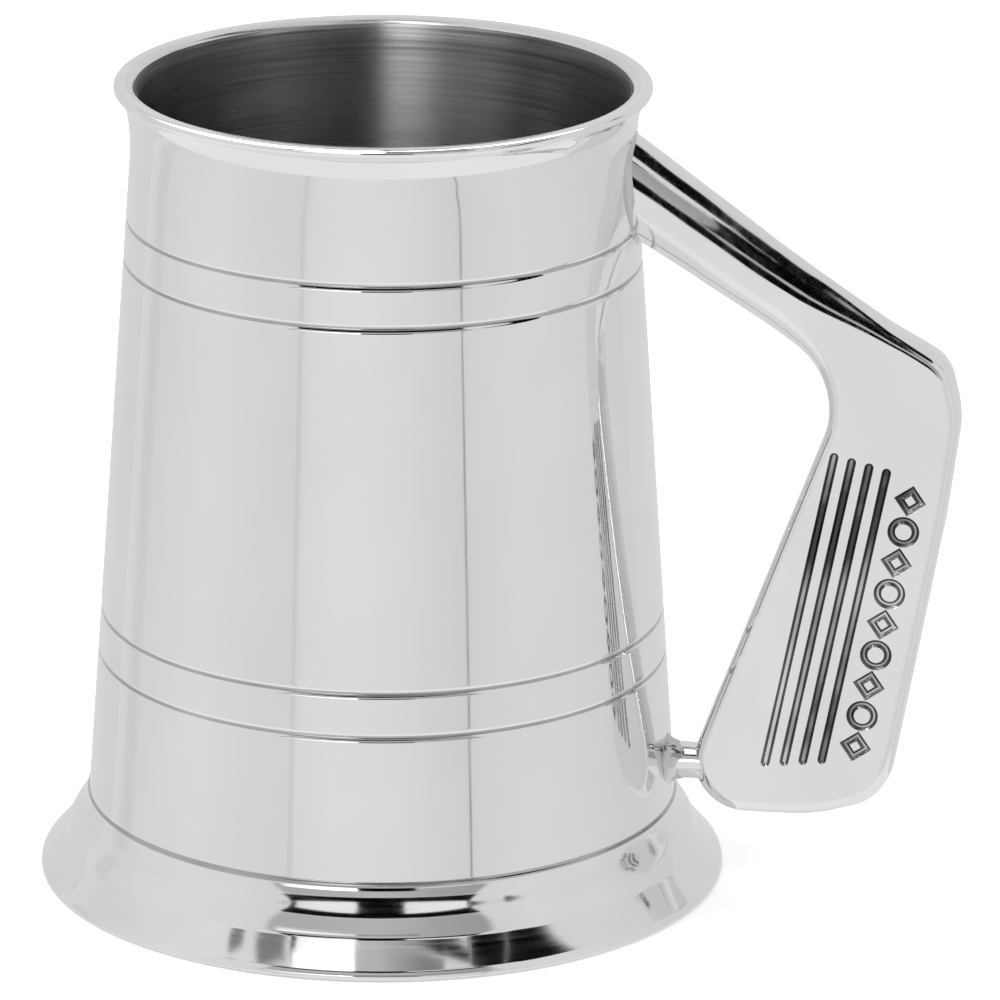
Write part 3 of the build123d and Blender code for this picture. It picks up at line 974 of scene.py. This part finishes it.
def mark_cutter():
    """All score lines and punched marks as one tapered tool."""
    points, faces, chosen = [], [], []
    for line in range(SCORE_COUNT):
        share = line / (SCORE_COUNT - 1)
        low = between(SCORE_FIRST[0], SCORE_LAST[0], share)
        high = between(SCORE_FIRST[1], SCORE_LAST[1], share)
        tilt = math.atan2(high[1] - low[1], high[0] - low[0])
        centre = between(low, high, 0.5)
        loops = [
            slot_loop(math.dist(low, high), SCORE_HALF_WIDTH + widen, depth, centre, tilt)
            for depth, widen in CUT_LEVELS
        ]
        cutter_part(points, faces, chosen, loops)
    row_tilt = math.atan2(MARK_LAST[1] - MARK_FIRST[1], MARK_LAST[0] - MARK_FIRST[0])
    for mark in range(MARK_COUNT):
        centre = between(MARK_FIRST, MARK_LAST, mark / (MARK_COUNT - 1))
        corners, steps = (36, 1) if mark % 2 else (4, 4)
        stretch = 1.0 if mark % 2 else math.sqrt(2)
        outside_loops, inside_loops = [], []
        for depth, widen in CUT_LEVELS:
            outer_r = MARK_SIZE / 2 + widen * stretch
            inner_r = MARK_SIZE / 2 - MARK_STROKE * stretch - widen * stretch
            outside_loops.append(regular_loop(outer_r, corners, depth, centre, row_tilt, steps))
            inside_loops.append(regular_loop(inner_r, corners, depth, centre, row_tilt, steps))
        ring_cutter_part(points, faces, chosen, outside_loops, inside_loops)
    return new_mesh("mark_cutter", points, faces, HANDLE_METALS, chosen)


handle_points, handle_faces = handle_blank()
all_cast = [0] * len(handle_faces)
handle = new_mesh("iron_handle", handle_points, handle_faces, HANDLE_METALS, all_cast)
cutter = mark_cutter()
cut = handle.modifiers.new("marks", "BOOLEAN")
cut.operation = "DIFFERENCE"
cut.solver = "EXACT"
cut.object = cutter
cut_mesh = bpy.data.meshes.new_from_object(
    handle.evaluated_get(bpy.context.evaluated_depsgraph_get())
)
handle.modifiers.clear()
handle.data = cut_mesh
bpy.data.objects.remove(cutter)
tidy(handle, 28.0)
stand_for(handle, "golf_iron_handle")


# ---- strut and solder ----


def strut_mesh():
    """A short round bar from inside the drum's wall to the head's inner edge."""
    start_x = cone_r(STRUT_Z) - STRUT_IN_WALL
    end_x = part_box("lower_strut")[1].x / MM - STRUT_TIP_LEFT
    points = []
    around, rows = 64, 24
    for row in range(rows + 1):
        share = row / rows
        x = start_x + (end_x - start_x) * share
        waist = STRUT_R - STRUT_WAIST * math.sin(math.pi * share)
        for step in range(around):
            angle = math.tau * step / around
            y, z = STRUT_Y + waist * math.cos(angle), STRUT_Z + waist * math.sin(angle)
            points.append((x, y, z))
    faces = woven(rows + 1, around) + end_caps(rows + 1, around)
    return wavy(points, depth=0.05, length=4.0, seed=4), faces


strut = new_mesh("handle_strut", *strut_mesh(), [CAST])
stand_for(strut, "lower_strut")


def drum_surface_r(z):
    """Outer radius of the drum at a height, flare included."""
    radii, heights = zip(*wall_outside)
    return float(np.interp(z, heights, radii))


JOINT_SEARCH = 14.0  # how far along the bar the drum's surface is looked for
JOINT_UNDER = 0.03  # how far the band's thin edges lie under both surfaces
JOINT_CORNER = 0.25  # and its hidden corner
JOINT_HOLLOW = (0.22, 0.2)  # where its hollow side bends to, as shares of width and reach


def solder_joint(name, origin, axis, radius_at, width, reach, roughness, seed):
    """A hollow-sided band of solder in the corner between the drum and a round bar."""
    axis = Vector(axis).normalized()
    side = axis.cross(Vector((0, 1, 0))).normalized()
    over = side.cross(axis).normalized()
    draw = random.Random(seed)
    phases = [draw.uniform(0, math.tau) for _ in range(5)]
    around, across = 128, 10
    points = []

    def on_drum(angle, out, lift):
        """The point that far off the bar's side, and that far off the drum."""
        direction = side * math.cos(angle) + over * math.sin(angle)
        low, high = -JOINT_SEARCH, JOINT_SEARCH
        for _ in range(40):
            middle = (low + high) / 2
            point = Vector(origin) + axis * middle + direction * (radius_at(middle) + out)
            gap = math.hypot(point.x, point.y) - drum_surface_r(point.z) - lift
            low, high = (low, middle) if gap > 0 else (middle, high)
        return point

    for step in range(around):
        angle = math.tau * step / around
        uneven = 1.0
        for wave, phase in enumerate(phases, start=2):
            uneven += roughness / wave * math.sin(wave * angle + phase)
        foot_point = on_drum(angle, width * uneven, -JOINT_UNDER)
        bar_point = on_drum(angle, -JOINT_UNDER, reach * uneven)
        corner = on_drum(angle, -JOINT_CORNER, -JOINT_CORNER)
        hollow = on_drum(angle, width * JOINT_HOLLOW[0], reach * JOINT_HOLLOW[1])
        for i in range(across + 1):
            t = i / across
            points.append(
                foot_point * (1 - t) ** 2 + hollow * 2 * t * (1 - t) + bar_point * t**2
            )
        points.append(corner)
    faces = woven(around, across + 2, rows_close=True)
    points = wavy(points, depth=roughness * 0.15, length=1.6, seed=seed)
    return new_mesh(name, points, faces, [SOLDER], sharp=50.0)


hosel_axis = (math.cos(HOSEL_DROP), 0.0, -math.sin(HOSEL_DROP))
hosel_joint = solder_joint(
    "hosel_joint", (HOSEL_ROOT[0], 0.0, HOSEL_ROOT[1]), hosel_axis, hosel_radius,
    width=1.1, reach=1.2, roughness=0.22, seed=11,
)
stand_for(hosel_joint, "hosel_solder")
strut_joint = solder_joint(
    "strut_joint", (cone_r(STRUT_Z), STRUT_Y, STRUT_Z), (1.0, 0.0, 0.0), lambda distance: STRUT_R,
    width=1.4, reach=2.1, roughness=0.35, seed=12,
)
stand_for(strut_joint, "strut_solder")


# ---- studio ----

VIEW_AZIMUTH = math.radians(8.0)
VIEW_RIGHT = Vector((math.cos(VIEW_AZIMUTH), math.sin(VIEW_AZIMUTH), 0))
VIEW_NEAR = Vector((math.sin(VIEW_AZIMUTH), -math.cos(VIEW_AZIMUTH), 0))
TENT_RADIUS = 2.6
TENT_CENTRE = Vector((0, 0, 0.06))
CARD_GAP = 0.05  # between cards that lie one before another
# Small cards close to one part of the tankard show mostly in that part's polish.
MOUTH_MIDDLE = Vector((0.0, 0.0, 108.0)) * MM
MOUTH_REACH = 0.08
HOSEL_MIDDLE = Vector((60.0, -5.0, 95.0)) * MM
HOSEL_REACH = 0.09
REFLECTANCE = 0.86  # of polished pewter


def grey(value):
    """The brightness whose reflection in polished pewter shows as that display grey."""
    share = value / 255
    linear = ((share + 0.055) / 1.055) ** 2.4 if share > 0.04045 else share / 12.92
    return linear / REFLECTANCE


def card_material():
    """An even glow, read from each card's own points, that fades out where it is uncovered."""
    nodes = Nodes("studio_card")
    glow = nodes.add("ShaderNodeAttribute", attribute_name="glow")
    cover = nodes.add("ShaderNodeAttribute", attribute_name="cover")
    light = nodes.add("ShaderNodeEmission")
    nodes.link(glow.outputs["Fac"], light.inputs["Strength"])
    clear = nodes.add("ShaderNodeBsdfTransparent")
    mix = nodes.add("ShaderNodeMixShader")
    nodes.link(cover.outputs["Fac"], mix.inputs["Fac"])
    nodes.link(clear.outputs["BSDF"], mix.inputs[1])
    nodes.link(light.outputs["Emission"], mix.inputs[2])
    nodes.link(mix.outputs["Shader"], nodes.output.inputs["Surface"])
    nodes.material.cycles.emission_sampling = "NONE"
    return nodes.material


CARD = card_material()


def card(
    name, bearings, heights, tone, soft=0.0, nearness=0,
    centre=TENT_CENTRE, reach=TENT_RADIUS, lean=0.0,
):
    """A patch of the light tent. Bearings run from the camera's side to the right, in degrees.

    tone is one grey, or (bearing, grey) stops. soft is how wide the faded edge is. nearness
    counts gaps inwards. lean turns the patch to the right by so many degrees for each degree
    of height.
    """
    rows = max(8, int(heights[1] - heights[0]))
    columns = max(8, int(bearings[1] - bearings[0]))
    radius = reach - CARD_GAP * nearness
    stops = tone if isinstance(tone, tuple) else ((0, tone), (1, tone))
    points, glow, cover = [], [], []
    for row in range(rows + 1):
        height = heights[0] + (heights[1] - heights[0]) * row / rows
        for column in range(columns + 1):
            bearing = bearings[0] + (bearings[1] - bearings[0]) * column / columns
            a = math.radians(bearing + lean * (height - heights[0]))
            e = math.radians(height)
            level = VIEW_NEAR * math.cos(a) + VIEW_RIGHT * math.sin(a)
            upward = Vector((0, 0, math.sin(e)))
            points.append(centre + radius * (level * math.cos(e) + upward))
            tone_here = np.interp(bearing, [s[0] for s in stops], [s[1] for s in stops])
            glow.append(grey(float(tone_here)))
            edge = min(
                height - heights[0], heights[1] - height,
                bearing - bearings[0], bearings[1] - bearing,
            )
            cover.append(float(smooth_step(edge, -1e-6, soft)) if soft else 1.0)
    mesh = bpy.data.meshes.new(name)
    mesh.from_pydata(points, [], woven(rows + 1, columns + 1, columns_close=False))
    mesh.materials.append(CARD)
    for attribute, values in (("glow", glow), ("cover", cover)):
        mesh.attributes.new(attribute, "FLOAT", "POINT").data.foreach_set("value", values)
    made = in_scene(name, mesh)
    made.visible_camera = False
    made.visible_diffuse = False
    made.visible_shadow = False
    made.visible_transmission = False


# Bearings of the tent's four upright seams, and how low and high its sides reach, in degrees.
FRONT_LEFT, FRONT_RIGHT, BACK_LEFT, BACK_RIGHT = -34.0, 35.0, -129.0, 128.0
WALL_LOW, WALL_HIGH = -33.0, 75.0

card(
    "tent_front", (FRONT_LEFT, FRONT_RIGHT), (WALL_LOW, WALL_HIGH),
    ((-34, 211), (-29, 216), (-18, 219), (-7, 219), (3, 217), (14, 213), (26, 208), (35, 205)),
)
card(
    "tent_left", (BACK_LEFT, FRONT_LEFT), (WALL_LOW, WALL_HIGH),
    ((-129, 213), (-117, 208), (-100, 212), (-76, 217), (-60, 213), (-34, 209)),
)
card(
    "tent_right", (FRONT_RIGHT, BACK_RIGHT), (WALL_LOW, WALL_HIGH),
    ((35, 206), (40, 209), (60, 213), (80, 211), (105, 206), (128, 204)),
)
card("tent_back", (BACK_RIGHT, 360 + BACK_LEFT), (WALL_LOW, WALL_HIGH), 207)
card("table_top", (-180, 180), (-90, WALL_LOW), 214)
card("table_glow", (-150, 150), (-89, WALL_LOW + 1), 227, soft=1.0, nearness=1)
card(
    "roof", (-180, 180), (69, 84),
    (
        (-180, 40), (-100, 60), (-85, 120), (-78, 240), (-62, 260), (-55, 260), (-48, 330),
        (-38, 420), (-25, 460), (-12, 440), (-4, 210), (5, 90), (48, 90), (62, 190), (75, 240),
        (95, 240), (104, 90), (120, 40), (180, 40),
    ),
)
card("roof_middle", (-180, 180), (84, 90), 110)

card("seam_right", (34.6, 35.4), (WALL_LOW, 20), 150, nearness=1)
card("seam_left", (-36.0, -33.0), (WALL_LOW, 20), 200, soft=1.2, nearness=1)
card("seam_back_left", (-123, -110), (WALL_LOW, 20), 203, soft=5.0, nearness=1)

card(
    "front_above", (-42, 42), (57, 69), ((-42, 178), (0, 178), (12, 150), (22, 124), (42, 140)),
    soft=1.0, nearness=2,
)
card("front_opening", (-42, 42), (40, 57), 5, nearness=2)
card(
    "front_shade", (-42, 42), (4, 40.5), ((-42, 168), (0, 178), (12, 172), (22, 160), (42, 150)),
    soft=3.0, nearness=1,
)
card(
    "front_low_lamp", (-38, -7), (3, 18), ((-38, 240), (-15, 380), (-7, 400)),
    soft=2.5, nearness=2,
)
card(
    "mouth_lamp_left", (-110, 2), (28, 52),
    ((-110, 150), (-92, 250), (-73, 450), (-36, 510), (-21, 780), (-3, 950), (2, 600)),
    soft=2.5, centre=MOUTH_MIDDLE, reach=MOUTH_REACH,
)
card(
    "mouth_lamp_right", (2, 94), (41, 55), ((2, 420), (25, 330), (50, 460), (86, 520), (94, 200)),
    soft=2.5, centre=MOUTH_MIDDLE, reach=MOUTH_REACH,
)
card("front_lamp_left", (-40, -10.5), (48.5, 57.5), 232, soft=0.6, nearness=3)
card("front_lamp_right", (11, 41.5), (48.5, 55.0), 230, soft=0.6, nearness=3)
card("camera_gap", (-9, 14), (-3, 18), 6, soft=1.0, nearness=3)
card("right_flag", (42, 58), (48.5, 58), 6, soft=1.0, nearness=2)
card("far_right_flag", (57, 135), (44.5, 58), 6, soft=1.5, nearness=2)
card("left_lump", (-58, -43), (48, 57), 120, soft=3.0, nearness=2)
card("left_spot", (-68, -61), (46, 50.5), 120, soft=1.5, nearness=2)
card("top_lamp_left", (-42, -12), (54, 69), 320, soft=2.0, nearness=3)
card("top_lump_right", (30, 44), (56, 62), 205, soft=2.0, nearness=3)
card("back_spot", (116, 128), (16, 30), 170, soft=2.0, nearness=1)
card(
    "hosel_flag", (4, 34), (24, 51), 5,
    soft=1.0, centre=HOSEL_MIDDLE, reach=HOSEL_REACH, lean=1.35,
)
card("back_spot_core", (119, 124), (18, 26), 30, soft=1.0, nearness=2)


FLOOR_GAP = 0.0002  # keeps the foot's rim clear of the floor


def floor_and_world():
    """A pale floor, and an even light for it."""
    size = 12.0
    mesh = bpy.data.meshes.new("pale_floor")
    corners = [(-size, -size, 0), (size, -size, 0), (size, size, 0), (-size, size, 0)]
    mesh.from_pydata(corners, [], [(0, 1, 2, 3)])
    nodes = Nodes("pale_paper")
    paper = nodes.add("ShaderNodeBsdfDiffuse")
    paper.inputs["Color"].default_value = (0.92, 0.92, 0.92, 1)
    nodes.link(paper.outputs["BSDF"], nodes.output.inputs["Surface"])
    mesh.materials.append(nodes.material)
    floor = in_scene("pale_floor", mesh)
    floor.location.z = -FLOOR_GAP
    floor.visible_glossy = False
    world = bpy.data.worlds.new("even_light")
    world.use_nodes = True
    background = world.node_tree.nodes["Background"]
    background.inputs["Color"].default_value = (1, 1, 1, 1)
    background.inputs["Strength"].default_value = 1.6
    world.cycles_visibility.glossy = False
    bpy.context.scene.world = world


floor_and_world()
bpy.context.scene.view_settings.view_transform = "Standard"

CAMERA_LENS = 263.05  # in millimetres; the other lengths are in metres
CAMERA_ASIDE = 0.0180  # camera and aim lie this far to the right of the drum's axis
CAMERA_BACK = 1.0678
CAMERA_UP = 0.4033
AIM_UP = 0.0585
CAMERA_ROLL = math.radians(0.384)


def make_camera():
    """The photographer's view: a long lens, a little right of the face and from above."""
    data = bpy.data.cameras.new("camera")
    data.lens = CAMERA_LENS
    data.sensor_width = 36.0
    data.clip_start = 0.05  # metres
    camera = in_scene("camera", data)
    place = VIEW_RIGHT * CAMERA_ASIDE + VIEW_NEAR * CAMERA_BACK + Vector((0, 0, CAMERA_UP))
    aim = VIEW_RIGHT * CAMERA_ASIDE + Vector((0, 0, AIM_UP))
    turned = (aim - place).to_track_quat("-Z", "Y").to_matrix().to_4x4()
    camera.matrix_world = (
        Matrix.Translation(place) @ turned @ Matrix.Rotation(CAMERA_ROLL, 4, "Z")
    )
    bpy.context.scene.camera = camera


make_camera()
